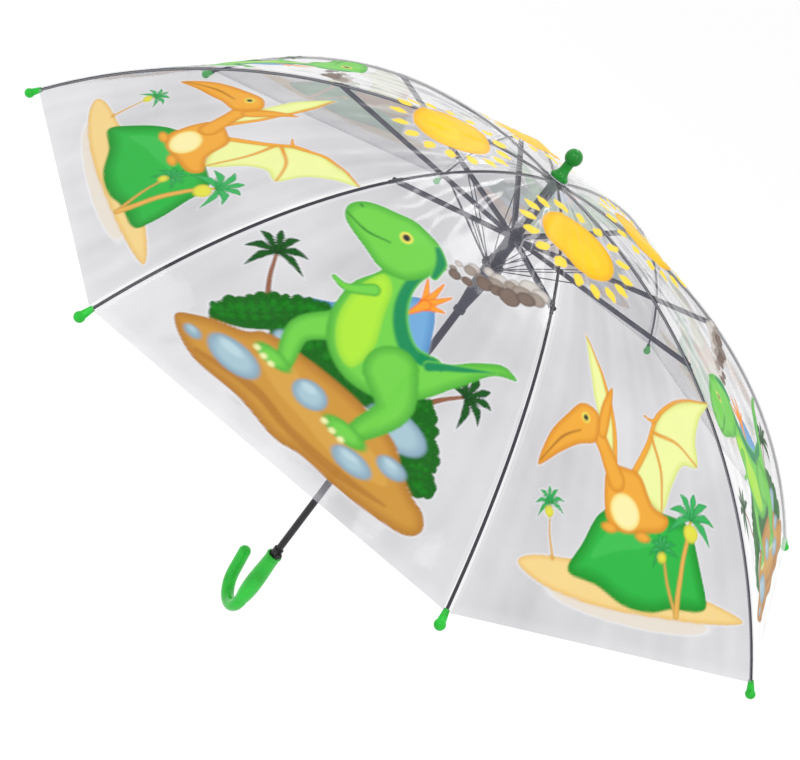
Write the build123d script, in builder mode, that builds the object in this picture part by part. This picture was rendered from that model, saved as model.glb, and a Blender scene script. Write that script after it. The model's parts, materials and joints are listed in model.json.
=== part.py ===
from build123d import *
import os
from math import asin, atan2, cos, degrees, exp, radians, sin, sqrt, tan

# Children's stick umbrella, open. Millimetres, +Z up along the shaft to the ferrule.
# The origin is on the shaft axis at the middle of the straight grip, and the hook turns
# towards +X. Eight ribs hinge in the crown, eight stretchers hinge on the ribs and in the
# top runner, and thin drag links tie the stretchers to the lower runner.
os.makedirs("parts", exist_ok=True)

# ---------------------------------------------------------------- overall sizes
rib_count = 8
rib_pitch = 360 / rib_count
first_rib_angle = 30.0
crown_height = 550.0
tip_radius = 450.0
tip_drop = 197.0
clip_radius = 216.0
runner_drop = 66.0
lower_runner_gap = 36.0

# ---------------------------------------------------------------- clearances
sliding_gap = 0.3
hinge_gap = 0.08
seat_gap = 0.03
spring_gap = 0.5
cutter_margin = 1.0

# ---------------------------------------------------------------- shaft and stop sleeve
shaft_radius = 4.0
shaft_wall = 0.8
shaft_in_ferrule = 11.0
shaft_in_handle = 50.0
stop_sleeve_wall = 1.2

# ---------------------------------------------------------------- hinge rings
pivot_radius = 8.0
wire_radius = 0.6
ring_radius = 10.4
ring_half_height = 2.4
hub_radius = 6.4
hub_height = 2.6
crown_collar_radius = 5.95
leaf_thickness = 1.6
eye_radius = 1.8
slot_width = leaf_thickness + 2 * sliding_gap

# ---------------------------------------------------------------- ribs
rib_wire_radius = 1.3
rib_leaf_length = 7.0
clip_wall = 0.4
clip_length = 14.0
rivet_radius = 0.8
rivet_head_radius = 1.5
rivet_head_height = 0.5
cap_ball_radius = 4.5
cap_shoulder_radius = 3.8
cap_sleeve_radius = 2.3
cap_sleeve_length = 12.0

# ---------------------------------------------------------------- stretchers
channel_wall = 0.5
channel_half_height = 1.7
channel_start = 9.0
channel_fork = 8.0
stretcher_leaf_length = 20.0

# ---------------------------------------------------------------- drag links
link_reach = 76.0
link_wire_radius = 0.55
link_spread_length = 30.0
link_bend_radius = 20.0

# ---------------------------------------------------------------- runners and main spring
skirt_radius = 6.8
skirt_wall = 0.95
skirt_length = 32.0
socket_wall = 1.3
socket_above_nest = 9.0
socket_below_nest = 20.0
nest_ring_rim = 3.2
nest_wall = 0.5
tail_taper_start = 24.0
tail_taper_end = 50.0
tail_neck_radius = 5.4
tail_collar_radius = 6.2
tail_collar_height = 4.0
tail_length = 59.0
spring_wire_radius = 0.5
spring_turns = 13

# ---------------------------------------------------------------- canopy and its fixings
film_thickness = 0.4
film_gap = 1.05
film_crown_lift = 0.8
film_lift_length = 15.0
film_inner_radius = 7.0
film_tip_margin = 14.0
film_seam_gap = 0.2
film_stations = 8
film_station_growth = 1.5
film_blank = 540.0
washer_radius = 10.6
washer_thickness = 0.8
ferrule_skirt_radius = 9.3
ferrule_skirt_height = 3.0
ferrule_edge = 0.8
ferrule_neck_radius = 4.9
ferrule_neck_height = 12.5
ferrule_ball_radius = 8.5
ferrule_ball_height = 24.0

# ---------------------------------------------------------------- handle
grip_length = 72.0
grip_top_radius = 8.4
grip_belly_radius = 10.0
grip_belly_below = 10.0
mouth_lip_height = 2.6
mouth_lip_bulge = 0.6
hook_rod_radius = 7.5
hook_end_radius = 7.2
hook_bend_radius = 26.0
hook_bend_angle = 166.0
hook_arm_length = 26.0
mouth_depth = 8.0
mouth_wall = 1.5

# ---------------------------------------------------------------- catch and button
housing_wall = 1.6
housing_edge = 0.8
housing_above_handle = 10.0
boss_radius = 4.3
boss_reach = 8.2
button_radius = 3.0
button_proud = 1.6
button_thickness = 2.8
button_edge = 0.8
button_stem_radius = 1.5
button_stem_reach = 1.0
leaf_spring_thickness = 0.3
leaf_spring_width = 2.4
leaf_spring_foot = 24.0
leaf_spring_bend = 15.0
leaf_spring_nose = 2.0
leaf_spring_tip = 4.0
leaf_spring_turn = 4.0

# ---------------------------------------------------------------- worked-out places
runner_height = crown_height - runner_drop
nest_height = runner_height - lower_runner_gap
clip_drop = runner_drop / 2
clip_point = Vector(clip_radius, -clip_drop)
eye_hole_radius = wire_radius + hinge_gap
slot_floor = pivot_radius - eye_radius - sliding_gap
channel_half_width = rib_wire_radius + clip_wall + sliding_gap + channel_wall
leaf_half = leaf_thickness / 2
shaft_bore = shaft_radius + seat_gap
sliding_bore = shaft_radius + sliding_gap
socket_bore = skirt_radius + sliding_gap
socket_radius = socket_bore + socket_wall
nest_radius = socket_bore + 2 * link_wire_radius + sliding_gap + nest_wall
nest_ring_radius = socket_radius + nest_ring_rim
grip_top = grip_length / 2
washer_bottom = crown_height + ring_half_height + film_thickness + film_gap
ferrule_foot = washer_bottom + washer_thickness + seat_gap
button_height = grip_top + housing_above_handle / 2


def radial_plane(angle, height):
    """Upright plane through the axis: x runs outwards at this angle, y runs up."""
    turn = radians(angle)
    return Plane(
        origin=(0, 0, height),
        x_dir=(cos(turn), sin(turn), 0),
        z_dir=(sin(turn), -cos(turn), 0),
    )


def circle_through(a, b, c):
    """Centre and radius of the circle through three points of a radial plane."""
    ab, cb = b - a, b - c
    middle_a, middle_c = (a + b) / 2, (b + c) / 2
    cross = ab.X * cb.Y - ab.Y * cb.X
    reach_a = ab.X * middle_a.X + ab.Y * middle_a.Y
    reach_c = cb.X * middle_c.X + cb.Y * middle_c.Y
    centre = Vector(
        (reach_a * cb.Y - reach_c * ab.Y) / cross,
        (reach_c * ab.X - reach_a * cb.X) / cross,
    )
    return centre, (a - centre).length


# A rib is one bow of wire from its crown pivot through the clip to the tip.
rib_start = Vector(pivot_radius, 0)
rib_end = Vector(tip_radius, -tip_drop)
rib_centre, rib_bow = circle_through(rib_start, clip_point, rib_end)


def rib_lean(radius):
    """Angle of the rib's outward normal from upright, in radians, at this distance from the axis."""
    return asin((radius - rib_centre.X) / rib_bow)


def rib_point(lean, lift=0.0):
    """Point of a radial plane at this lean along the bow, lifted off the rib's centre line."""
    reach = rib_bow + lift
    return Vector(rib_centre.X + reach * sin(lean), rib_centre.Y + reach * cos(lean))


start_lean = rib_lean(pivot_radius)
tip_lean = rib_lean(tip_radius)
clip_lean = rib_lean(clip_radius)
print("rib length", round(rib_bow * (tip_lean - start_lean), 1))


def save(builder, name):
    """Label a finished piece and write it to its own file."""
    builder.part.label = name
    export_step(builder.part, f"parts/{name}.step")


def placed(side, *points):
    """Points of a radial plane as places in space."""
    return [side.from_local_coords((point.X, point.Y, 0)) for point in points]


def spokes():
    """Angles of all ribs."""
    return [first_rib_angle + rib_pitch * number for number in range(rib_count)]


# ================================================================ shaft group
with BuildPart() as shaft_tube:
    with BuildSketch(Plane.XY.offset(grip_top - shaft_in_handle)):
        Circle(shaft_radius)
        Circle(shaft_radius - shaft_wall, mode=Mode.SUBTRACT)
    extrude(amount=ferrule_foot + shaft_in_ferrule - grip_top + shaft_in_handle)
    # hole that the button's stem passes through
    with BuildSketch(Plane.YZ.offset(-shaft_radius - cutter_margin)):
        with Locations((0, button_height)):
            Circle(button_stem_radius + sliding_gap)
    extrude(amount=shaft_radius, mode=Mode.SUBTRACT)
save(shaft_tube, "shaft_tube")


def ring_cutters(height, slot, floor, groove=True):
    """What is cut out of a hinge ring: a slot for every rib, and the binding wire's groove."""
    with BuildPart() as cutters:
        for angle in spokes():
            with BuildSketch(radial_plane(angle, height)):
                with Locations((floor, 0)):
                    Rectangle(
                        2 * ring_radius,
                        2 * ring_half_height + cutter_margin,
                        align=(Align.MIN, Align.CENTER),
                    )
            extrude(amount=slot / 2, both=True)
        if groove:
            with BuildSketch(Plane.XZ):
                with Locations((pivot_radius - wire_radius - seat_gap, height)):
                    Rectangle(ring_radius, 2 * (wire_radius + seat_gap), align=(Align.MIN, Align.CENTER))
            revolve(axis=Axis.Z)
    return cutters.part


with BuildPart() as crown:
    with BuildSketch(Plane.XZ):
        with Locations((shaft_bore, crown_height)):
            Rectangle(ring_radius - shaft_bore, 2 * ring_half_height, align=(Align.MIN, Align.CENTER))
        with Locations((shaft_bore, crown_height - ring_half_height - hub_height)):
            Rectangle(hub_radius - shaft_bore, hub_height, align=Align.MIN)
        with Locations((shaft_bore, crown_height + ring_half_height)):
            Rectangle(
                crown_collar_radius - shaft_bore,
                film_thickness + washer_thickness,
                align=Align.MIN,
            )
    revolve(axis=Axis.Z)
    add(ring_cutters(crown_height, slot_width, slot_floor), mode=Mode.SUBTRACT)
save(crown, "crown")


def binding_wire(height):
    """Ring of wire that all the leaves of one hinge ring are threaded on."""
    with BuildPart() as wire:
        with BuildSketch(Plane.XZ):
            with Locations((pivot_radius, height)):
                Circle(wire_radius)
        revolve(axis=Axis.Z)
    return wire


save(binding_wire(crown_height), "crown_wire")
save(binding_wire(runner_height), "top_runner_wire")

with BuildPart() as stop_sleeve:
    sleeve_top = crown_height - ring_half_height - hub_height - seat_gap
    sleeve_bottom = runner_height + ring_half_height + hub_height + sliding_gap
    with BuildSketch(Plane.XY.offset(sleeve_bottom)):
        Circle(shaft_bore + stop_sleeve_wall)
        Circle(shaft_bore, mode=Mode.SUBTRACT)
    extrude(amount=sleeve_top - sleeve_bottom)
save(stop_sleeve, "stop_sleeve")

# The film is nipped between the crown and a washer, with the ferrule pressed down on both.
with BuildPart() as canopy_washer:
    with BuildSketch(Plane.XY.offset(washer_bottom)):
        Circle(washer_radius)
        Circle(film_inner_radius - sliding_gap, mode=Mode.SUBTRACT)
    extrude(amount=washer_thickness)
    fillet(canopy_washer.edges().group_by(Axis.Z)[-1].sort_by(SortBy.RADIUS)[-1], washer_thickness / 2)
save(canopy_washer, "canopy_washer")

with BuildPart() as ferrule:
    neck_z = ferrule_foot + ferrule_neck_height
    ball_z = ferrule_foot + ferrule_ball_height
    join_z = ball_z - sqrt(ferrule_ball_radius**2 - ferrule_neck_radius**2)
    with BuildSketch(Plane.XZ):
        with BuildLine():
            Polyline(
                (0, ball_z + ferrule_ball_radius),
                (0, ferrule_foot),
                (ferrule_skirt_radius - ferrule_edge, ferrule_foot),
                (ferrule_skirt_radius, ferrule_foot + ferrule_edge),
                (ferrule_skirt_radius, ferrule_foot + ferrule_skirt_height),
            )
            Spline(
                (ferrule_skirt_radius, ferrule_foot + ferrule_skirt_height),
                (ferrule_neck_radius, neck_z),
                tangents=((-1, 0.6), (0, 1)),
            )
            Line((ferrule_neck_radius, neck_z), (ferrule_neck_radius, join_z))
            ThreePointArc(
                (ferrule_neck_radius, join_z),
                (ferrule_ball_radius, ball_z),
                (0, ball_z + ferrule_ball_radius),
            )
        make_face()
    revolve(axis=Axis.Z)
    with BuildSketch(Plane.XY.offset(ferrule_foot)):
        Circle(shaft_bore)
    extrude(amount=shaft_in_ferrule + seat_gap, mode=Mode.SUBTRACT)
save(ferrule, "ferrule")

# ================================================================ handle, catch and button
with BuildPart() as handle:
    with BuildSketch(Plane.XZ):
        # the grip swells between the bend and the mouth, which ends in a rolled lip
        with BuildLine():
            Line((0, -grip_top), (hook_rod_radius, -grip_top))
            Spline(
                (hook_rod_radius, -grip_top),
                (grip_belly_radius, -grip_belly_below),
                (grip_top_radius, grip_top - mouth_lip_height),
                tangents=((mouth_lip_bulge, mouth_lip_height), (0, 1)),
            )
            ThreePointArc(
                (grip_top_radius, grip_top - mouth_lip_height),
                (grip_top_radius + mouth_lip_bulge, grip_top - mouth_lip_height / 2),
                (grip_top_radius, grip_top),
            )
            Polyline((grip_top_radius, grip_top), (0, grip_top), (0, -grip_top))
        make_face()
    revolve(axis=Axis.Z)
    # the bend turns from straight down round to the arm
    with BuildSketch(Plane.XY.offset(-grip_top)):
        Circle(hook_rod_radius)
    revolve(axis=Axis((hook_bend_radius, 0, -grip_top), (0, -1, 0)), revolution_arc=hook_bend_angle)
    bend = radians(hook_bend_angle)
    arm_foot = Vector(
        hook_bend_radius * (1 - cos(bend)), 0, -grip_top - hook_bend_radius * sin(bend)
    )
    arm_direction = Vector(sin(bend), 0, -cos(bend))
    arm_plane = Plane(origin=arm_foot, x_dir=(0, 1, 0), z_dir=arm_direction)
    with BuildSketch(arm_plane):
        Circle(hook_rod_radius)
    with BuildSketch(arm_plane.offset(hook_arm_length)):
        Circle(hook_end_radius)
    loft()
    with Locations(arm_foot + arm_direction * hook_arm_length):
        Sphere(hook_end_radius)
    # bore for the shaft, and the open mouth that the catch housing stands in
    with BuildSketch(Plane.XY.offset(grip_top - shaft_in_handle - seat_gap)):
        Circle(shaft_bore)
    extrude(amount=shaft_in_handle + seat_gap, mode=Mode.SUBTRACT)
    with BuildSketch(Plane.XY.offset(grip_top)):
        Circle(grip_top_radius - mouth_wall)
    extrude(amount=-mouth_depth, mode=Mode.SUBTRACT)
save(handle, "handle")

housing_radius = shaft_bore + housing_wall
with BuildPart() as catch_housing:
    with BuildSketch(Plane.XY.offset(grip_top - mouth_depth + seat_gap)):
        Circle(housing_radius)
    extrude(amount=mouth_depth + housing_above_handle)
    chamfer(catch_housing.edges().group_by(Axis.Z)[-1], housing_edge)
    # the boss around the button stands out on the side away from the hook
    with BuildSketch(Plane.YZ.offset(-boss_reach)):
        with Locations((0, button_height)):
            Circle(boss_radius)
    extrude(amount=boss_reach)
    with BuildSketch(Plane.XY.offset(grip_top - mouth_depth)):
        Circle(shaft_bore)
    extrude(amount=mouth_depth + housing_above_handle + cutter_margin, mode=Mode.SUBTRACT)
    with BuildSketch(Plane.YZ.offset(-boss_reach - cutter_margin)):
        with Locations((0, button_height)):
            Circle(button_radius + sliding_gap)
    extrude(
        amount=boss_reach + cutter_margin - shaft_radius + button_stem_radius,
        mode=Mode.SUBTRACT,
    )
save(catch_housing, "catch_housing")

button_face = -boss_reach - button_proud
with BuildPart() as button:
    with BuildSketch(Plane.YZ.offset(button_face)):
        with Locations((0, button_height)):
            Circle(button_radius)
    extrude(amount=button_thickness)
    fillet(button.edges().group_by(Axis.X)[0], button_edge)
    with BuildSketch(Plane.YZ.offset(button_face + button_thickness)):
        with Locations((0, button_height)):
            Circle(button_stem_radius)
    extrude(amount=-button_face - button_thickness - button_stem_reach)
save(button, "button")

# Leaf spring inside the shaft: its foot lies on the far wall, its nose behind the stem.
with BuildPart() as button_spring:
    leaf_wall = shaft_radius - shaft_wall - leaf_spring_thickness - sliding_gap
    with BuildSketch(Plane.XZ):
        with BuildLine():
            FilletPolyline(
                (leaf_wall, button_height - leaf_spring_foot),
                (leaf_wall, button_height - leaf_spring_bend),
                (sliding_gap - button_stem_reach, button_height - leaf_spring_nose),
                (sliding_gap - button_stem_reach, button_height + leaf_spring_tip),
                radius=leaf_spring_turn,
            )
            offset(amount=leaf_spring_thickness / 2, side=Side.BOTH)
        make_face()
    extrude(amount=leaf_spring_width / 2, both=True)
save(button_spring, "button_spring")

# ================================================================ runners
with BuildPart() as top_runner:
    with BuildSketch(Plane.XZ):
        with Locations((sliding_bore, runner_height)):
            Rectangle(ring_radius - sliding_bore, 2 * ring_half_height, align=(Align.MIN, Align.CENTER))
        with Locations((sliding_bore, runner_height + ring_half_height)):
            Rectangle(hub_radius - sliding_bore, hub_height, align=Align.MIN)
        with Locations((skirt_radius, runner_height)):
            Rectangle(skirt_wall, skirt_length, align=Align.MAX)
    revolve(axis=Axis.Z)
    add(ring_cutters(runner_height, slot_width, slot_floor), mode=Mode.SUBTRACT)
save(top_runner, "top_runner")

with BuildPart() as lower_runner:
    tail_end = nest_height - tail_length
    with BuildSketch(Plane.XZ):
        with BuildLine():
            Polyline(
                (sliding_bore, tail_end),
                (tail_collar_radius, tail_end),
                (tail_collar_radius, tail_end + tail_collar_height),
                (tail_neck_radius, tail_end + tail_collar_height),
                (tail_neck_radius, nest_height - tail_taper_end),
                (socket_radius, nest_height - tail_taper_start),
                (socket_radius, nest_height + socket_above_nest),
                (socket_bore, nest_height + socket_above_nest),
                (socket_bore, nest_height - socket_below_nest),
                (sliding_bore, nest_height - socket_below_nest),
                close=True,
            )
        make_face()
        with Locations((socket_bore, nest_height)):
            Rectangle(
                nest_ring_radius - socket_bore, 2 * ring_half_height, align=(Align.MIN, Align.CENTER)
            )
    revolve(axis=Axis.Z)
    nest_slot = 4 * link_wire_radius + 2 * hinge_gap + 2 * sliding_gap
    nest_floor = nest_radius - link_wire_radius - sliding_gap
    add(ring_cutters(nest_height, nest_slot, nest_floor, groove=False), mode=Mode.SUBTRACT)
save(lower_runner, "lower_runner")

# The main spring bears on the top runner's hub and on the floor of the lower runner's socket.
with BuildPart() as main_spring:
    spring_radius = shaft_radius + spring_gap + spring_wire_radius
    spring_foot = nest_height - socket_below_nest + spring_wire_radius + sliding_gap / 2
    spring_head = runner_height - ring_half_height - spring_wire_radius - sliding_gap / 2
    with BuildLine():
        coil = Helix(
            pitch=(spring_head - spring_foot) / spring_turns,
            height=spring_head - spring_foot,
            radius=spring_radius,
            center=(0, 0, spring_foot),
        )
    with BuildSketch(Plane(origin=coil @ 0, z_dir=coil % 0)):
        Circle(spring_wire_radius)
    sweep(is_frenet=True)
save(main_spring, "main_spring")

# ================================================================ one set for each rib
stretcher_run = clip_point - Vector(pivot_radius, -runner_drop)
stretcher_length = stretcher_run.length
stretcher_rise = degrees(atan2(stretcher_run.Y, stretcher_run.X))
link_top = Vector(pivot_radius, -runner_drop) + stretcher_run.normalized() * link_reach
link_foot = Vector(nest_radius, -runner_drop - lower_runner_gap)
link_run = link_foot - link_top
print("stretcher length", round(stretcher_length, 2), "link length", round(link_run.length, 2))


def make_rib(angle):
    """Bowed rib wire with a flattened eye, its crimped clip barrel and the clip's rivet."""
    side = radial_plane(angle, crown_height)
    leaf_end = start_lean + (rib_leaf_length - rib_wire_radius) / rib_bow
    with BuildPart() as wire:
        with BuildLine():
            bow = ThreePointArc(*placed(side, rib_point(leaf_end), clip_point, rib_end))
        with BuildSketch(Plane(origin=bow @ 0, z_dir=bow % 0)):
            Circle(rib_wire_radius)
        sweep()
        with BuildSketch(Plane(placed(side, rib_start)[0], side.x_dir, side.z_dir)):
            Circle(eye_radius)
            Rectangle(rib_leaf_length, 2 * eye_radius, align=(Align.MIN, Align.CENTER))
            Circle(eye_hole_radius, mode=Mode.SUBTRACT)
        extrude(amount=leaf_half, both=True)
        with BuildSketch(side):
            with Locations(clip_point):
                Circle(rivet_radius + seat_gap)
        extrude(amount=2 * rib_wire_radius, both=True, mode=Mode.SUBTRACT)
    with BuildPart() as clip:
        half_clip = clip_length / 2 / rib_bow
        barrel_ends = rib_point(clip_lean - half_clip), rib_point(clip_lean + half_clip)
        with BuildLine():
            barrel = ThreePointArc(*placed(side, barrel_ends[0], clip_point, barrel_ends[1]))
        with BuildSketch(Plane(origin=barrel @ 0, z_dir=barrel % 0)):
            Circle(rib_wire_radius + clip_wall)
            Circle(rib_wire_radius + seat_gap, mode=Mode.SUBTRACT)
        sweep()
        with BuildSketch(side):
            with Locations(clip_point):
                Circle(rivet_radius + seat_gap)
        extrude(amount=2 * rib_wire_radius, both=True, mode=Mode.SUBTRACT)
    with BuildPart() as rivet:
        head_start = channel_half_width + sliding_gap / 2
        with BuildSketch(side):
            with Locations(clip_point):
                Circle(rivet_radius)
        extrude(amount=head_start + rivet_head_height, both=True)
        for direction in (1, -1):
            with BuildSketch(side.offset(direction * head_start)):
                with Locations(clip_point):
                    Circle(rivet_head_radius)
            extrude(amount=direction * rivet_head_height)
    with BuildPart() as rib:
        add(wire.part)
        add(clip.part)
        add(rivet.part)
    return rib


def make_cap(angle):
    """Moulded cap on the rib's end: a ball that narrows to a short sleeve back along the rib."""
    side = radial_plane(angle, crown_height)
    outward = side.x_dir * cos(tip_lean) - Vector(0, 0, sin(tip_lean))
    end = placed(side, rib_end)[0]
    cap_plane = Plane(origin=end, x_dir=outward, z_dir=side.z_dir)
    with BuildPart() as cap:
        with BuildSketch(cap_plane):
            Circle(cap_ball_radius)
            Polygon(
                (0, -cap_shoulder_radius),
                (0, cap_shoulder_radius),
                (-cap_sleeve_length, cap_sleeve_radius),
                (-cap_sleeve_length, -cap_sleeve_radius),
                align=None,
            )
            Rectangle(
                4 * cap_sleeve_length,
                cap_ball_radius,
                align=(Align.CENTER, Align.MAX),
                mode=Mode.SUBTRACT,
            )
            Rectangle(
                cap_sleeve_length + seat_gap,
                2 * (rib_wire_radius + 2 * hinge_gap),
                align=(Align.MAX, Align.CENTER),
                mode=Mode.SUBTRACT,
            )
        revolve(axis=Axis(end, outward))
    return cap


def make_stretcher(angle):
    """Folded channel with an eyed leaf at the runner end and a fork over the rib's clip."""
    side = radial_plane(angle, crown_height)
    foot = placed(side, Vector(pivot_radius, -runner_drop))[0]
    rise = radians(stretcher_rise)
    along = side.x_dir * cos(rise) + Vector(0, 0, sin(rise))
    bar = Plane(origin=foot, x_dir=along, z_dir=side.z_dir)
    inner_half_width = channel_half_width - channel_wall
    with BuildPart() as stretcher:
        with BuildSketch(bar):
            with Locations((stretcher_length, 0)):
                Circle(channel_half_height)
            with Locations((channel_start, 0)):
                Rectangle(
                    stretcher_length - channel_start,
                    2 * channel_half_height,
                    align=(Align.MIN, Align.CENTER),
                )
        extrude(amount=channel_half_width, both=True)
        with BuildSketch(bar):
            with Locations((channel_start - cutter_margin, channel_wall - channel_half_height)):
                Rectangle(stretcher_length, 2 * channel_half_height, align=Align.MIN)
            with Locations((stretcher_length - channel_fork, 0)):
                Rectangle(
                    2 * channel_fork,
                    4 * channel_half_height,
                    align=(Align.MIN, Align.CENTER),
                )
        extrude(amount=inner_half_width, both=True, mode=Mode.SUBTRACT)
        with BuildSketch(bar):
            Circle(eye_radius)
            Rectangle(stretcher_leaf_length, 2 * eye_radius, align=(Align.MIN, Align.CENTER))
        extrude(amount=leaf_half, both=True)
        with BuildSketch(bar):
            Circle(eye_hole_radius)
            with Locations((stretcher_length, 0)):
                Circle(rivet_radius + hinge_gap)
            with Locations((link_reach, 0)):
                Circle(link_wire_radius + hinge_gap)
        extrude(amount=2 * channel_half_width, both=True, mode=Mode.SUBTRACT)
    return stretcher


def make_drag_link(angle):
    """Hairpin of thin wire: its bight lies in the lower runner, its ends turn into the channel."""
    side = radial_plane(angle, crown_height)
    foot, top = placed(side, link_foot, link_top)
    upward = (top - foot).normalized()
    across = side.z_dir
    wide = channel_half_width + sliding_gap + link_wire_radius
    narrow = link_wire_radius + hinge_gap
    with BuildPart() as link:
        for direction in (1, -1):
            leg_points = [
                foot + across * direction * narrow,
                foot + upward * link_spread_length + across * direction * wide,
                top + across * direction * wide,
            ]
            with BuildLine():
                leg = FilletPolyline(*leg_points, radius=link_bend_radius)
            with BuildSketch(Plane(origin=leg @ 0, z_dir=leg % 0)):
                Circle(link_wire_radius)
            sweep(path=leg)
            with BuildSketch(Plane(origin=leg_points[2], z_dir=across)):
                Circle(link_wire_radius)
            extrude(amount=-direction * (wide - channel_half_width + channel_wall + sliding_gap))
            with Locations(leg_points[2], leg_points[0]):
                Sphere(link_wire_radius)
        with BuildSketch(Plane(origin=foot, z_dir=across)):
            Circle(link_wire_radius)
        extrude(amount=narrow, both=True)
    return link


def make_panel(angle):
    """Gore of film from this rib to the next: straight across, bowed along the ribs."""
    middle = radial_plane(angle + rib_pitch / 2, crown_height)
    narrowing = cos(radians(rib_pitch / 2))
    first = rib_lean(film_inner_radius)
    last = tip_lean - film_tip_margin / rib_bow
    faces = {"under": [], "over": []}
    for step in range(film_stations + 1):
        lean = first + (last - first) * (step / film_stations) ** film_station_growth
        fade = exp(-(lean - first) * rib_bow / film_lift_length)
        lift = rib_wire_radius + film_gap + film_crown_lift * fade
        for name, extra in (("under", 0), ("over", film_thickness)):
            point = rib_point(lean, lift + extra)
            faces[name].append((point.X * narrowing, point.Y))
    seam_back = film_seam_gap / sin(radians(rib_pitch / 2))
    half_span = film_blank * tan(radians(rib_pitch / 2))
    with BuildPart() as panel:
        with BuildSketch(middle):
            with BuildLine():
                Spline(*faces["under"])
                Line(faces["under"][-1], faces["over"][-1])
                Spline(*faces["over"][::-1])
                Line(faces["over"][0], faces["under"][0])
            make_face()
        extrude(amount=film_blank, both=True)
        turn = radians(angle + rib_pitch / 2)
        wedge = Plane(
            origin=(seam_back * cos(turn), seam_back * sin(turn), crown_height),
            x_dir=(cos(turn), sin(turn), 0),
            z_dir=(0, 0, 1),
        )
        with BuildSketch(wedge):
            Polygon((0, 0), (film_blank, -half_span), (film_blank, half_span), align=None)
        extrude(amount=film_blank, both=True, mode=Mode.INTERSECT)
    return panel


for number, angle in enumerate(spokes(), start=1):
    save(make_rib(angle), f"rib_{number}")
    save(make_cap(angle), f"tip_cap_{number}")
    save(make_stretcher(angle), f"stretcher_{number}")
    save(make_drag_link(angle), f"drag_link_{number}")
    save(make_panel(angle), f"canopy_panel_{number}")
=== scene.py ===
import json
from math import asin, cos, pi, radians, sin

import bpy
import numpy as np
from mathutils import Matrix, Vector


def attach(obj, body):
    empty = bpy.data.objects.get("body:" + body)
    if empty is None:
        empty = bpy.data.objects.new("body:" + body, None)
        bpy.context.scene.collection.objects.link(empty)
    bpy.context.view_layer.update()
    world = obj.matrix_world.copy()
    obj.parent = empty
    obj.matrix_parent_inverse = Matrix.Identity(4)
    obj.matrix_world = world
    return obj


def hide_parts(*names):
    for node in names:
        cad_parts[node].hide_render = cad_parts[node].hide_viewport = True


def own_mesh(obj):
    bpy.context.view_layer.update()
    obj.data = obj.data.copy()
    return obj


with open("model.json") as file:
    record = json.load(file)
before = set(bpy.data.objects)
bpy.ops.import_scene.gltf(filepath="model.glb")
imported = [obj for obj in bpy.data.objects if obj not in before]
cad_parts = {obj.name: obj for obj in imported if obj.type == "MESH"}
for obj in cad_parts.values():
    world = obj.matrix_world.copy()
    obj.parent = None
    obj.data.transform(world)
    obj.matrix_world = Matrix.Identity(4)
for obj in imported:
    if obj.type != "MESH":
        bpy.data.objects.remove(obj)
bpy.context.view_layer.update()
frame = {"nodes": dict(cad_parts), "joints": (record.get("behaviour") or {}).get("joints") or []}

bpy.ops.object.select_all(action="DESELECT")

# ---------------------------------------------------------------------------
# Camera: above and outside the open canopy, rolled so that the shaft leans across the
# picture from the handle at the lower left to the ferrule at the upper right.
camera_place = Vector((-1.0877, 0.6494, 0.8579))
camera_forward = Vector((0.78584, -0.46491, -0.40783)).normalized()
camera_up = Vector((0.58649, 0.35101, 0.72995))
camera_lens = 61.64
camera_sensor = 36.0
camera_reach = 100.0

bpy.ops.object.camera_add()
camera = bpy.context.object
camera.name = "camera"
camera_right = camera_forward.cross(camera_up).normalized()
camera_up = camera_right.cross(camera_forward)
camera_turn = Matrix((camera_right, camera_up, -camera_forward)).transposed()
camera.matrix_world = Matrix.Translation(camera_place) @ camera_turn.to_4x4()
camera.data.lens = camera_lens
camera.data.sensor_width = camera_sensor
camera.data.clip_end = camera_reach
bpy.context.scene.camera = camera

# ---------------------------------------------------------------------------
# Studio: a pale floor well below the handle, white walls all round as an even glow, a
# square key softbox, a long strip for streaks on the film, and a weak strip behind.
floor_height = -0.30
floor_size = 60.0
floor_tone = (0.93, 0.93, 0.93, 1)
wall_tone = (1, 1, 1, 1)
wall_glow = 1.06
canopy_middle = (0, 0, 0.42)

bpy.ops.mesh.primitive_plane_add(size=floor_size, location=(0, 0, floor_height))
floor = bpy.context.object
floor.name = "floor"
floor_paint = bpy.data.materials.new("floor_paint")
floor_paint.use_nodes = True
floor_shader = floor_paint.node_tree.nodes["Principled BSDF"]
floor_shader.inputs["Base Color"].default_value = floor_tone
floor_shader.inputs["Roughness"].default_value = 0.9
floor_shader.inputs["Specular IOR Level"].default_value = 0.1
floor.data.materials.append(floor_paint)

world = bpy.data.worlds.new("studio_walls")
world.use_nodes = True
walls = world.node_tree.nodes["Background"]
walls.inputs["Color"].default_value = wall_tone
walls.inputs["Strength"].default_value = wall_glow
bpy.context.scene.world = world
bpy.context.scene.view_settings.view_transform = "Standard"


def softbox(name, place, width, height, watts):
    """Rectangular area light at a place, turned towards the middle of the canopy."""
    bpy.ops.object.light_add(type="AREA", location=place)
    light = bpy.context.object
    light.name = name
    light.rotation_euler = (Vector(canopy_middle) - Vector(place)).to_track_quat("-Z", "Y").to_euler()
    light.data.shape = "RECTANGLE"
    light.data.size = width
    light.data.size_y = height
    light.data.energy = watts


softbox("key_softbox", (-1.3, 1.8, 2.6), width=0.9, height=0.9, watts=16)
softbox("strip_softbox", (-1.9, -0.3, 2.3), width=0.14, height=2.4, watts=12)
softbox("rim_softbox", (1.2, -0.4, 2.0), width=0.2, height=1.8, watts=8)

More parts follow.
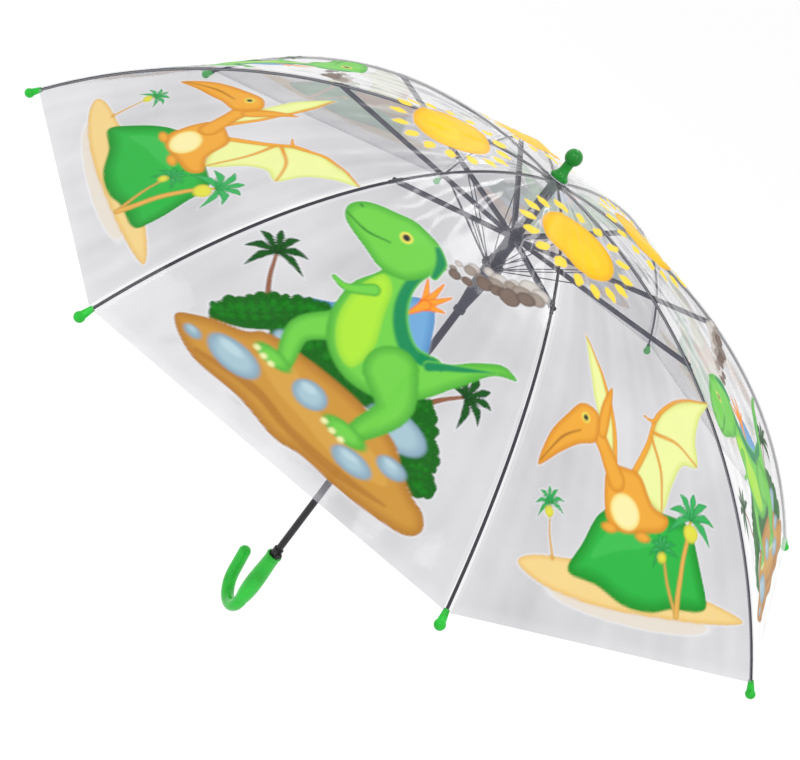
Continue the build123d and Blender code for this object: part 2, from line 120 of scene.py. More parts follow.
# ---------------------------------------------------------------------------
# Handle, tip caps and ferrule: bright green moulded plastic, glossy with a faint flow
# mottle. The handle's two mould halves leave a fine raised line round the hook's plane.
green_light = (0.016, 0.500, 0.034, 1)
green_deep = (0.007, 0.330, 0.017, 1)
ferrule_light = (0.002, 0.235, 0.016, 1)
ferrule_deep = (0.001, 0.165, 0.010, 1)
dull_gloss = 0.28
parting_height = 0.0001
parting_core = 0.0001
parting_reach = 0.0004


def add_node(material, kind, values=(), **settings):
    """New shader node, its settings set by name and its inputs by name or number."""
    node = material.node_tree.nodes.new(kind)
    for setting, value in settings.items():
        setattr(node, setting, value)
    for name, value in dict(values).items():
        if isinstance(value, bpy.types.NodeSocket):
            material.node_tree.links.new(value, node.inputs[name])
        else:
            node.inputs[name].default_value = value
    return node


def connect(material, output, node, name):
    """Link an output to a node's input."""
    material.node_tree.links.new(output, node.inputs[name])


def object_noise(material, scale, detail=3.0):
    """Factor of a noise laid out in the piece's own space."""
    place = add_node(material, "ShaderNodeTexCoord")
    noise = add_node(
        material,
        "ShaderNodeTexNoise",
        {"Vector": place.outputs["Object"], "Scale": scale, "Detail": detail},
    )
    return noise.outputs["Fac"]


def spread(material, factor, low, high, from_low=0.3, from_high=0.7):
    """A factor stretched to run from low to high."""
    fit = add_node(
        material,
        "ShaderNodeMapRange",
        {"Value": factor, "From Min": from_low, "From Max": from_high, "To Min": low, "To Max": high},
    )
    return fit.outputs["Result"]


def blend_tones(material, factor, first, second):
    """Colour that goes from the first tone to the second as the factor rises."""
    mix = add_node(material, "ShaderNodeMix", {"Factor": factor, 6: first, 7: second}, data_type="RGBA")
    return mix.outputs[2]


def finish_material(name, light, deep, mottle, roughness, grain, grain_depth):
    """Opaque finish: two close tones mottled together, uneven gloss and a fine surface grain."""
    material = bpy.data.materials.new(name)
    material.use_nodes = True
    shader = material.node_tree.nodes["Principled BSDF"]
    shader.inputs["Specular IOR Level"].default_value = dull_gloss
    cloud = object_noise(material, mottle)
    tone = blend_tones(material, spread(material, cloud, 0, 1), deep, light)
    connect(material, tone, shader, "Base Color")
    rub = object_noise(material, mottle * 3.1, detail=5.0)
    connect(material, spread(material, rub, roughness - 0.06, roughness + 0.08), shader, "Roughness")
    fine = object_noise(material, grain, detail=2.0)
    bump = add_node(
        material, "ShaderNodeBump", {"Strength": 0.5, "Distance": grain_depth, "Height": fine}
    )
    connect(material, bump.outputs["Normal"], shader, "Normal")
    return material, shader, bump


def paint(material, *names):
    """Give CAD nodes a material in place of their plain one."""
    for name in names:
        node = frame["nodes"][name]
        node.data.materials.clear()
        node.data.materials.append(material)


def each_rib(stem):
    """Names of the eight nodes with this stem."""
    return [f"{stem}_{number}" for number in range(1, rib_count + 1)]


rib_count = sum(1 for name in frame["nodes"] if name.startswith("rib_"))

handle_plastic, handle_shader, handle_bump = finish_material(
    "handle_plastic", green_light, green_deep, 38, 0.24, 420, 0.00012
)
handle_shader.inputs["Coat Weight"].default_value = 0.15
handle_shader.inputs["Coat Roughness"].default_value = 0.08
# the mould's parting line, a tenth of a millimetre high, in the plane of the hook
place = add_node(handle_plastic, "ShaderNodeTexCoord")
split = add_node(handle_plastic, "ShaderNodeSeparateXYZ", {"Vector": place.outputs["Object"]})
off_plane = add_node(handle_plastic, "ShaderNodeMath", {0: split.outputs["Y"]}, operation="ABSOLUTE")
parting_line = spread(handle_plastic, off_plane.outputs[0], 1.0, 0.0, parting_core, parting_reach)
parting = add_node(
    handle_plastic,
    "ShaderNodeBump",
    {
        "Strength": 1.0,
        "Distance": parting_height,
        "Height": parting_line,
        "Normal": handle_bump.outputs["Normal"],
    },
)
connect(handle_plastic, parting.outputs["Normal"], handle_shader, "Normal")
paint(handle_plastic, "handle")

cap_plastic, _, _ = finish_material("cap_plastic", green_light, green_deep, 150, 0.28, 900, 0.00006)
paint(cap_plastic, *each_rib("tip_cap"))
ferrule_plastic, ferrule_shader, _ = finish_material(
    "ferrule_plastic", ferrule_light, ferrule_deep, 70, 0.22, 700, 0.00008
)
ferrule_shader.inputs["Coat Weight"].default_value = 0.12
ferrule_shader.inputs["Coat Roughness"].default_value = 0.08
paint(ferrule_plastic, "ferrule")

# ---------------------------------------------------------------------------
# Crown, runners and stop sleeve: slate-coloured nylon, moulded with a light spark-eroded
# grain. The catch housing and its button are the same nylon in black.
slate_plastic, _, _ = finish_material(
    "slate_plastic", (0.046, 0.048, 0.060, 1), (0.028, 0.030, 0.038, 1), 60, 0.44, 1500, 0.00010
)
paint(slate_plastic, "crown", "stop_sleeve", "top_runner", "lower_runner")
black_plastic, _, _ = finish_material(
    "black_plastic", (0.016, 0.016, 0.018, 1), (0.009, 0.009, 0.010, 1), 80, 0.36, 1400, 0.00008
)
paint(black_plastic, "catch_housing", "button")

# ---------------------------------------------------------------------------
# Shaft and stretchers: thin steel, rolled to a tube and folded to a channel, and stoved
# in a dark enamel that has set with a slight orange peel.
shaft_enamel, shaft_shader, _ = finish_material(
    "shaft_enamel", (0.018, 0.018, 0.021, 1), (0.011, 0.011, 0.013, 1), 45, 0.30, 620, 0.00010
)
shaft_shader.inputs["Coat Weight"].default_value = 0.1
paint(shaft_enamel, "shaft_tube")
stretcher_enamel, _, _ = finish_material(
    "stretcher_enamel", (0.050, 0.052, 0.064, 1), (0.030, 0.032, 0.040, 1), 90, 0.38, 900, 0.00008
)
paint(stretcher_enamel, *each_rib("stretcher"))

# ---------------------------------------------------------------------------
# Ribs: pultruded glass-fibre rod, near black, with a very fine grain. The wires that tie
# the frame and the drag links are drawn steel, blackened; the springs are left bright.
rib_fibre, _, _ = finish_material(
    "rib_fibre", (0.016, 0.016, 0.020, 1), (0.009, 0.009, 0.012, 1), 260, 0.34, 1900, 0.00006
)
paint(rib_fibre, *each_rib("rib"))


def wire_material(name, light, deep, roughness):
    """Drawn wire: metal with fine draw marks and a little oil dulling."""
    material, shader, _ = finish_material(name, light, deep, 300, roughness, 2400, 0.00005)
    shader.inputs["Metallic"].default_value = 0.9
    return material


dark_wire = wire_material("dark_wire", (0.16, 0.16, 0.18, 1), (0.09, 0.09, 0.10, 1), 0.36)
paint(dark_wire, "crown_wire", "top_runner_wire", *each_rib("drag_link"))
spring_wire = wire_material("spring_wire", (0.56, 0.56, 0.58, 1), (0.40, 0.40, 0.42, 1), 0.26)
paint(spring_wire, "main_spring", "button_spring")

# ---------------------------------------------------------------------------
# Washer: a turned disc of clear acrylic that the ferrule presses on the film. The turning
# has left its faces a little uneven in gloss.
washer_acrylic = bpy.data.materials.new("washer_acrylic")
washer_acrylic.use_nodes = True
washer_shader = washer_acrylic.node_tree.nodes["Principled BSDF"]
washer_shader.inputs["Base Color"].default_value = (0.72, 0.78, 0.80, 1)
washer_shader.inputs["Alpha"].default_value = 0.42
turned = object_noise(washer_acrylic, 900, detail=1.0)
connect(washer_acrylic, spread(washer_acrylic, turned, 0.06, 0.2), washer_shader, "Roughness")
paint(washer_acrylic, "canopy_washer")

# ---------------------------------------------------------------------------
# Canopy film: eight gores of clear soft film, welded to each other along the ribs and
# hemmed at the rim. Each gore hangs straight across between its ribs and is bowed with
# them. It is made as two halves, each held by its own rib, so that it folds with them.
joints = {joint["name"]: joint for joint in frame["joints"]}
hinge = Vector(joints["open_close"]["pos_m"])
clip = Vector(joints["stretcher_hinge_1"]["pos_m"])
crown_height = hinge.z
pivot_radius = Vector((hinge.x, hinge.y)).length
clip_radius = Vector((clip.x, clip.y)).length
clip_drop = crown_height - clip.z
tip_radius = 0.450
tip_drop = 0.197
film_lift = 0.00255
crown_lift = 0.0008
crown_lift_length = 0.015
film_inner_radius = 0.0070
rim_margin = 0.0095
seam_offset = 0.0052
seam_width = 0.0011
clear_strip = 0.0032
hem_width = 0.0070
sag_depth = 0.0022
slack_length = 0.12
hem_stretch = 0.02
pucker_height = 0.00035
fold_height = 0.00045
cell = 0.0015
half_gore = radians(180 / rib_count)
first_rib = Vector((hinge.x, hinge.y)).angle_signed(Vector((1, 0)))

# the bow of a rib is the circle through its pivot, its clip and its tip
bow_points = np.array(((pivot_radius, 0), (clip_radius, -clip_drop), (tip_radius, -tip_drop)))
chords = np.diff(bow_points, axis=0)
bow_centre = np.linalg.solve(chords, np.diff((bow_points**2).sum(1)) / 2)
bow_radius = np.linalg.norm(bow_points[0] - bow_centre)


def bow_lean(radius):
    """Lean of the bow's normal from upright at this distance from the shaft."""
    return asin((radius - bow_centre[0]) / bow_radius)


# the gore's own line: its length from the pivot, its distance from the shaft and its height
leans = np.linspace(bow_lean(film_inner_radius), bow_lean(tip_radius) - rim_margin / bow_radius, 600)
lifts = film_lift + crown_lift * np.exp(-(leans - leans[0]) * bow_radius / crown_lift_length)
line_radius = bow_centre[0] + (bow_radius + lifts) * np.sin(leans)
line_height = crown_height + bow_centre[1] + (bow_radius + lifts) * np.cos(leans)
line_out = line_radius * cos(half_gore)
line_half = line_radius * sin(half_gore)
steps = np.hypot(np.diff(line_out), np.diff(line_height))
line_length = np.concatenate(((0,), np.cumsum(steps))) - (pivot_radius - film_inner_radius)
gore_length = line_length[-1]
rim_half = line_half[-1]

columns = round(rim_half / cell)
rows = round((gore_length - line_length[0]) / cell)


def film_relief(across, down):
    """How far the film stands off its straight line: a shallow sag and soft puckers by the welds."""
    share = np.abs(across) / np.interp(down, line_length, line_half)
    slack_ends = (0.0, slack_length, gore_length - hem_stretch, gore_length)
    depth = np.interp(down, slack_ends, (0.0, 1.0, 1.0, 0.35))
    sag = -sag_depth * (1 - share**2) * depth
    window = (share * (1 - share)) ** 2 * 16 * depth
    pucker = np.sin(down * 95 + 9 * share) + 0.6 * np.sin(down * 173 - 14 * share + 2.0)
    long_fold = np.sin(share * 21 + down * 17)
    return sag + window * (pucker_height * pucker + fold_height * long_fold)


def film_point(across, down):
    """Places in the gore's own axes (out, across, up) of spots on its flat cut."""
    out = np.interp(down, line_length, line_out)
    up = np.interp(down, line_length, line_height)
    lean = np.interp(down, line_length, leans)
    relief = film_relief(across, down)
    return np.stack((out + relief * np.sin(lean), across, up + relief * np.cos(lean)), 1)


# ---------------------------------------------------------------------------
# Prints: screen inks laid on the flat gores before they are welded. A picture is a table
# of colour and cover for every spot of a gore. Sizes here are millimetres on the flat
# cut: x runs across from the gore's middle line, y down from the crown.
ink_depth = 0.77


def ink(red, green, blue):
    """Ink colour given as a printer's 0 to 255 values, in the renderer's linear scale."""
    return (np.array((red, green, blue)) / 255) ** 2.2 * ink_depth


far_away = 1e3
ink_edge = 1.9


def ellipse(spots, centre, radii, turn=0.0):
    """Distance of every spot to an ellipse, negative inside."""
    x, y = (spots - centre).T
    bend = radians(turn)
    x, y = x * cos(bend) + y * sin(bend), y * cos(bend) - x * sin(bend)
    return (np.hypot(x / radii[0], y / radii[1]) - 1) * min(radii)


def smooth_line(points, closed):
    """Points along a smooth line through a few points."""
    count = len(points)
    points = np.array(points, float)
    pieces = []
    for place in range(count if closed else count - 1):
        around = [place - 1, place, place + 1, place + 2]
        around = [n % count if closed else min(max(n, 0), count - 1) for n in around]
        a, b, c, d = points[around]
        for t in np.arange(0, 1, 1 / 6):
            cubic = 1.5 * (b - c) + (d - a) / 2
            pieces.append(b + t * ((c - a) / 2 + t * (a - 2.5 * b + 2 * c - d / 2 + t * cubic)))
    if not closed:
        pieces.append(points[-1])
    return np.array(pieces)


def near(spots, line, margin):
    """Which spots lie in a line's own box, widened by a margin."""
    return np.all((spots > line.min(0) - margin) & (spots < line.max(0) + margin), axis=1)


def outline(spots, points):
    """Distance of every spot to a smooth closed outline, negative inside."""
    line = smooth_line(points, closed=True)
    result = np.full(len(spots), far_away)
    chosen = near(spots, line, 3)
    x, y = spots[chosen].T
    closest = np.full(len(x), far_away)
    inside = np.zeros(len(x), bool)
    for a, b in zip(line, np.roll(line, -1, axis=0)):
        run = b - a
        share = np.clip(((x - a[0]) * run[0] + (y - a[1]) * run[1]) / max(run @ run, 1e-9), 0, 1)
        closest = np.minimum(closest, np.hypot(x - a[0] - share * run[0], y - a[1] - share * run[1]))
        crosses = (a[1] > y) != (b[1] > y)
        if a[1] != b[1]:
            inside ^= crosses & (x < a[0] + (y - a[1]) * run[0] / run[1])
    result[chosen] = np.where(inside, -closest, closest)
    return result


def stroke(spots, points, radii):
    """Distance of every spot to a brush stroke whose half width changes along it."""
    line = smooth_line(points, closed=False)
    half = np.interp(np.linspace(0, 1, len(line)), np.linspace(0, 1, len(radii)), radii)
    result = np.full(len(spots), far_away)
    chosen = near(spots, line, max(radii) + 3)
    x, y = spots[chosen].T
    closest = np.full(len(x), far_away)
    for a, b, start, end in zip(line, line[1:], half, half[1:]):
        run = b - a
        share = np.clip(((x - a[0]) * run[0] + (y - a[1]) * run[1]) / max(run @ run, 1e-9), 0, 1)
        away = np.hypot(x - a[0] - share * run[0], y - a[1] - share * run[1])
        closest = np.minimum(closest, away - start - share * (end - start))
    result[chosen] = closest
    return result


def lay(picture, distance, tone, rim_tone=None, shade=5.0, cover=1.0):
    """Print one shape: its tone inside, fading to its rim tone at the edge."""
    share = np.clip(0.5 - distance / ink_edge, 0, 1) * cover
    tones = np.broadcast_to(tone, (len(share), 3))
    if rim_tone is not None:
        depth = np.clip(-distance / shade, 0, 1)[:, None]
        tones = rim_tone + (tone - rim_tone) * depth
    picture[:, :3] += (tones - picture[:, :3]) * share[:, None]
    picture[:, 3] = np.maximum(picture[:, 3], share)


def print_sun(picture, spots, around=0.0):
    """Plain sun with a ring of leaf-shaped rays, turned round the crown by an angle in degrees."""
    turn = radians(around)
    from_crown, start = 108.0, radians(-12.5)
    disc, rays = 39, 16
    centre = np.array((from_crown * sin(start + turn), from_crown * cos(start + turn)))
    for number in range(rays):
        angle = 2 * pi * number / rays - turn
        direction = np.array((cos(angle), sin(angle)))
        ray = [centre + length * direction for length in (47, 52, 59)]
        lay(picture, stroke(spots, ray, (3.4, 6.2, 2.6)), ink(252, 222, 70), ink(248, 206, 40), 2)
    lay(picture, ellipse(spots, centre, (disc, disc)), ink(248, 200, 4), ink(238, 172, 2), 8)
    warm = centre + 9 * np.array((sin(turn), cos(turn)))
    lay(picture, ellipse(spots, warm, (21, 15), -around), ink(252, 214, 20), cover=0.5)


def print_palm(picture, spots, foot, head, reach, trunk, leaf, rim, fruit=None):
    """Palm: a slim trunk, seven drooping fronds round its head, and perhaps fruit."""
    foot, head = np.array(foot, float), np.array(head, float)
    side = np.array((head[1] - foot[1], foot[0] - head[0])) * 0.05
    girth = reach * 0.12
    trunk_line = (foot, (foot + head) / 2 + side, head)
    lay(picture, stroke(spots, trunk_line, (girth, girth * 0.6)), trunk, trunk * 0.6, 1.6)
    up = (head - foot) / np.hypot(*(head - foot))
    across = np.array((-up[1], up[0]))
    for angle in (-116, 116, -78, 78, -38, 38, 2):
        out = up * cos(radians(angle)) + across * sin(radians(angle))
        tip = head + reach * out - reach * 0.22 * up
        knee = head + 0.5 * reach * out + reach * 0.04 * up
        lay(picture, stroke(spots, (head, knee, tip), (1.4, reach * 0.15, 0.3)), leaf, rim, 2)
    if fruit is not None:
        place = head + np.array((0, reach * 0.42))
        lay(picture, ellipse(spots, place, (reach * 0.32, reach * 0.28)), fruit, fruit * 0.75, 3)


def print_eye(picture, spots, centre, size):
    """Plain round eye, a dark dot with a yellow rim."""
    lay(picture, ellipse(spots, centre, (size * 1.7, size * 1.7)), ink(236, 226, 96))
    lay(picture, ellipse(spots, centre, (size, size)), ink(40, 40, 45))


def print_island(picture, spots):
    """Even gores: a winged animal over a green hill on a sand island, with three palms."""
    sand, sand_rim = ink(244, 212, 140), ink(232, 186, 102)
    palm_inks = (ink(232, 176, 84), ink(56, 176, 92), ink(24, 132, 60), ink(226, 222, 70))
    orange, orange_rim = ink(238, 168, 58), ink(212, 134, 34)
    skin, skin_rim = ink(236, 243, 160), ink(214, 224, 120)
    # the island with its reflection, and the hill with a paler flank
    lay(picture, ellipse(spots, (12, 430), (92, 13)), ink(252, 228, 176), cover=0.7)
    beach = (
        (-115, 417), (-98, 407), (-40, 402), (60, 404), (122, 410), (145, 417), (118, 424), (60, 430),
        (-20, 434), (-84, 429),
    )
    lay(picture, outline(spots, beach), sand, sand_rim, 5)
    hill = (
        (-62, 413), (-52, 388), (-36, 362), (-8, 348), (34, 346), (66, 350), (80, 372), (96, 408),
        (88, 418), (58, 421), (34, 428), (2, 428), (-30, 418),
    )
    lay(picture, outline(spots, hill), ink(42, 180, 66), ink(8, 138, 32), 13)
    flank = ((-40, 398), (-24, 374), (4, 366), (30, 372), (14, 380), (-14, 388))
    lay(picture, outline(spots, flank), ink(72, 196, 88), cover=0.5)
    print_palm(picture, spots, (-80, 406), (-90, 366), 17, *palm_inks)
    # far wing and its finger bone, then the near wing and its bones
    far_wing = ((-27, 318), (-38, 292), (-47, 258), (-49, 212), (-38, 232), (-28, 260), (-22, 292))
    lay(picture, outline(spots, far_wing), skin, skin_rim, 5)
    far_bone = ((-22, 322), (-23, 284), (-34, 242), (-49, 212))
    lay(picture, stroke(spots, far_bone, (3.2, 2.4, 1.8, 0.8)), orange, orange_rim, 2)
    near_wing = (
        (-4, 326), (18, 292), (32, 262), (60, 242), (97, 233), (84, 252), (76, 274), (77, 298),
        (58, 302), (46, 320), (36, 346), (20, 342),
    )
    lay(picture, outline(spots, near_wing), skin, skin_rim, 6)
    for bone, radii in (
        (((-6, 330), (16, 294), (30, 264), (60, 241), (98, 233)), (3.8, 2.8, 2.2, 1.0)),
        (((24, 280), (52, 283), (77, 298)), (1.8, 1.3, 0.8)),
        (((22, 286), (32, 312), (34, 345)), (1.8, 1.3, 0.8)),
        (((32, 262), (24, 270), (14, 268)), (2.6, 2.4, 1.6)),
    ):
        lay(picture, stroke(spots, bone, radii), orange, orange_rim, 2)
    # body, belly, neck, crest, head with a plain straight bill, and feet
    body = (
        (-30, 322), (-8, 318), (8, 322), (22, 342), (42, 350), (36, 362), (12, 368), (-8, 372),
        (-26, 367), (-33, 346),
    )
    lay(picture, outline(spots, body), orange, orange_rim, 6)
    lay(picture, ellipse(spots, (-8, 355), (17, 14), 20), ink(250, 238, 170), ink(244, 222, 130), 4)
    lay(picture, stroke(spots, ((-20, 332), (-34, 310), (-46, 292)), (10, 8, 9)), orange, orange_rim, 5)
    crest = ((-42, 296), (-36, 272), (-22, 252), (-27, 282), (-33, 300))
    lay(picture, outline(spots, crest), orange, orange_rim, 4)
    head = (
        (-40, 282), (-58, 276), (-76, 290), (-96, 312), (-107, 341), (-84, 326), (-64, 314), (-44, 306),
    )
    lay(picture, outline(spots, head), orange, orange_rim, 6)
    lay(picture, stroke(spots, ((-104, 336), (-82, 312), (-62, 301)), (0.4, 0.9, 0.5)), orange_rim * 0.5)
    print_eye(picture, spots, (-56, 289), 2.6)
    for foot in ((-24, 371), (14, 371)):
        lay(picture, ellipse(spots, foot, (9, 4)), orange, orange_rim, 2)
    print_palm(picture, spots, (60, 422), (38, 376), 16, *palm_inks)
    print_palm(picture, spots, (63, 425), (70, 344), 29, *palm_inks)
    print_sun(picture, spots)


def print_thicket(picture, spots, middle, girths, leaf, leaf_rim):
    """Bushes: a thick stroke with uneven dark tufts along it and paler leaves in it."""
    lay(picture, stroke(spots, middle, girths), leaf_rim)
    tufts = smooth_line(middle, closed=False)[::2]
    for place, girth in zip(tufts, np.interp(range(10), (0, 3, 6, 9), girths)):
        for turn in (205, 250, 290, 335):
            out = np.array((cos(radians(turn)), sin(radians(turn))))
            tuft = 4.4 + 1.9 * sin(turn + 1.7 * place[0])
            lay(picture, ellipse(spots, place + girth * out, (tuft, tuft)), leaf_rim)
            lay(picture, ellipse(spots, place + 0.62 * girth * out, (3.2, 2.2), turn), leaf, cover=0.55)


def print_valley(picture, spots):
    """Odd gores: a dinosaur on rocky ground with bushes and palms, and a smoking mountain."""
    leaf, leaf_rim = ink(14, 132, 18), ink(2, 98, 6)
    palm_inks = (ink(146, 92, 66), ink(12, 84, 22), ink(4, 54, 12))
    stone, stone_rim, stone_light = ink(164, 194, 206), ink(128, 158, 178), ink(190, 216, 224)
    ground, ground_rim = ink(202, 146, 58), ink(172, 114, 42)
    hide, hide_rim = ink(112, 206, 74), ink(76, 168, 56)
    back, belly, mouth = ink(24, 138, 84), ink(172, 230, 60), ink(40, 120, 40)
    # mountain, lava and drifting smoke
    mountain = (
        (-2, 284), (12, 279), (24, 290), (40, 322), (58, 352), (0, 372), (-62, 354), (-40, 332),
        (-20, 306),
    )
    lay(picture, outline(spots, mountain), ink(112, 166, 214), ink(84, 138, 192), 8)
    for tip in ((-4, 262), (8, 256), (20, 262), (24, 278), (4, 300)):
        lay(picture, stroke(spots, ((9, 284), tip), (5, 1.4)), ink(248, 158, 50), ink(230, 104, 34), 2)
    for height, tone, rim in (
        (227, ink(206, 200, 194), ink(160, 150, 142)),
        (235, ink(158, 146, 136), ink(130, 116, 106)),
        (243, ink(122, 104, 94), ink(92, 76, 68)),
    ):
        for number, girth in enumerate((4.5, 6.5, 6, 8.5, 7, 10.5, 8.5)):
            share = (number + 0.4 * sin(height)) / 6
            puff = (1 + 66 * share, height - 30 * share + 3 * sin(number * 2.1 + height))
            lay(picture, ellipse(spots, puff, (girth, girth - 1)), tone, rim, 3)
    # palms and bushes behind the ground
    print_palm(picture, spots, (-76, 374), (-101, 334), 27, *palm_inks)
    print_palm(picture, spots, (58, 360), (80, 326), 27, *palm_inks)
    for middle, girths in (
        (((-100, 404), (-84, 390), (-66, 372), (-48, 354)), (7, 12, 15, 10)),
        (((-50, 384), (-10, 376), (34, 372), (60, 366)), (13, 14, 14, 13)),
        (((58, 360), (72, 378), (86, 395), (99, 409)), (12, 14, 13, 7)),
    ):
        print_thicket(picture, spots, middle, girths, leaf, leaf_rim)
    # ground with a pale path, a shadow band and stones
    lay(picture, ellipse(spots, (58, 384), (27, 14)), stone, stone_rim, 6)
    lay(picture, ellipse(spots, (-48, 386), (11, 7)), stone, stone_rim, 3)
    bank = (
        (-122, 427), (-108, 414), (-76, 400), (-62, 390), (-22, 385), (22, 385), (62, 392), (82, 406),
        (98, 415), (113, 420), (121, 431), (112, 442), (84, 446), (50, 447), (18, 446), (-6, 449),
        (-44, 443), (-92, 442),
    )
    lay(picture, outline(spots, bank), ground, ground_rim, 9)
    path = (
        (-60, 404), (-30, 398), (-8, 408), (24, 414), (52, 408), (80, 422), (40, 430), (0, 424),
        (-34, 418),
    )
    lay(picture, outline(spots, path), ink(214, 162, 72), cover=0.8)
    shadow = ((-92, 436), (-40, 430), (-4, 436), (44, 438), (88, 434))
    lay(picture, stroke(spots, shadow, (1.5, 3.5, 3, 3.5, 1)), ground_rim, cover=0.8)
    for x, y, wide, high in (
        (-68, 421, 24, 11), (-7, 406, 15, 10), (49, 425, 18, 8), (74, 409, 13, 7), (-103, 427, 8, 4),
    ):
        lay(picture, ellipse(spots, (x, y), (wide, high)), stone, stone_rim, 5)
        shine = (x - 0.25 * wide, y - 0.35 * high)
        lay(picture, ellipse(spots, shine, (wide * 0.45, high * 0.3)), stone_light, cover=0.7)
    # far leg, body with tail, pale belly and dark back
    lay(picture, stroke(spots, ((-30, 350), (-46, 372), (-38, 398)), (13, 10, 7)), hide, hide_rim, 6)
    lay(picture, ellipse(spots, (-46, 402), (17, 6)), hide, hide_rim, 4)
    body = (
        (-6, 240), (-8, 276), (0, 304), (24, 323), (50, 316), (68, 296), (86, 282), (102, 286),
        (86, 296), (72, 322), (58, 350), (36, 372), (4, 378), (-24, 366), (-40, 342), (-44, 312),
        (-36, 286), (-34, 262),
    )
    lay(picture, outline(spots, body), hide, hide_rim, 9)
    underside = (
        (-32, 286), (-38, 312), (-33, 342), (-16, 364), (2, 368), (4, 344), (-8, 316), (-18, 292),
    )
    lay(picture, outline(spots, underside), belly, ink(150, 216, 62), 6)
    spine = ((-7, 240), (-11, 276), (0, 306), (24, 326), (46, 320))
    lay(picture, stroke(spots, spine, (5, 6, 7, 8, 5)), back, hide, 3)
    lay(picture, stroke(spots, ((44, 326), (68, 306), (86, 292)), (5, 3, 1)), back, hide, 2)
    for x, y, size in (
        (-10, 256, 2.4), (-17, 266, 2), (-12, 275, 1.6), (18, 326, 3), (27, 333, 2.4), (14, 338, 2),
        (38, 328, 2.2), (52, 322, 2),
    ):
        lay(picture, ellipse(spots, (x, y), (size, size * 0.8)), back, cover=0.8)
    # near leg, claws, arm and head
    lay(picture, stroke(spots, ((26, 350), (46, 372), (38, 402)), (22, 14, 9)), hide, hide_rim, 9)
    lay(picture, ellipse(spots, (31, 411), (20, 7)), hide, hide_rim, 4)
    for claw in ((-60, 404), (-52, 406), (-44, 407), (14, 414), (23, 416), (32, 417)):
        lay(picture, ellipse(spots, claw, (3, 2)), ink(236, 240, 170))
    lay(picture, stroke(spots, ((-28, 304), (-44, 318), (-57, 318)), (6, 4, 2.6)), hide, hide_rim, 3)
    head = (
        (-2, 246), (-12, 228), (-36, 221), (-62, 228), (-84, 240), (-92, 256), (-84, 270), (-62, 277),
        (-38, 284), (-14, 276),
    )
    lay(picture, outline(spots, head), hide, hide_rim, 9)
    lay(picture, stroke(spots, ((-16, 230), (-6, 240), (-2, 256)), (4, 6, 4)), back, hide, 3)
    lay(picture, stroke(spots, ((-90, 262), (-68, 264), (-46, 258)), (0.4, 1.1, 0.5)), mouth)
    lay(picture, ellipse(spots, (-84, 247), (1.8, 1.2), 30), mouth)
    print_eye(picture, spots, (-40, 243), 3.4)
    for around in (46, -46):
        print_sun(picture, spots, around)


# ---------------------------------------------------------------------------
# Printed film: clear film with a cool tint, glossy, clouded where it is welded or hemmed,
# and covered by matt ink where it is printed. Painted reflection of the white walls makes it
# paler at a glancing angle and from the inside, painted streaks and patches of highlight run
# over it, and the weld line beside each rib is partly a painted highlight.
film_grey = (0.080, 0.078, 0.112, 1)
# painted reflection: the pale tone the film takes at a glancing angle and from the inside
film_painted_reflection = (0.66, 0.66, 0.67, 1)
# the weld line beside each rib: partly the weld's own haze, partly a painted highlight
weld_and_highlight_grey = (0.34, 0.34, 0.37, 1)
ink_faded = (0.60, 0.60, 0.62, 1)


def combine(material, operation, *values):
    """Factors and numbers put together by one sum."""
    return add_node(material, "ShaderNodeMath", dict(enumerate(values)), operation=operation).outputs[0]


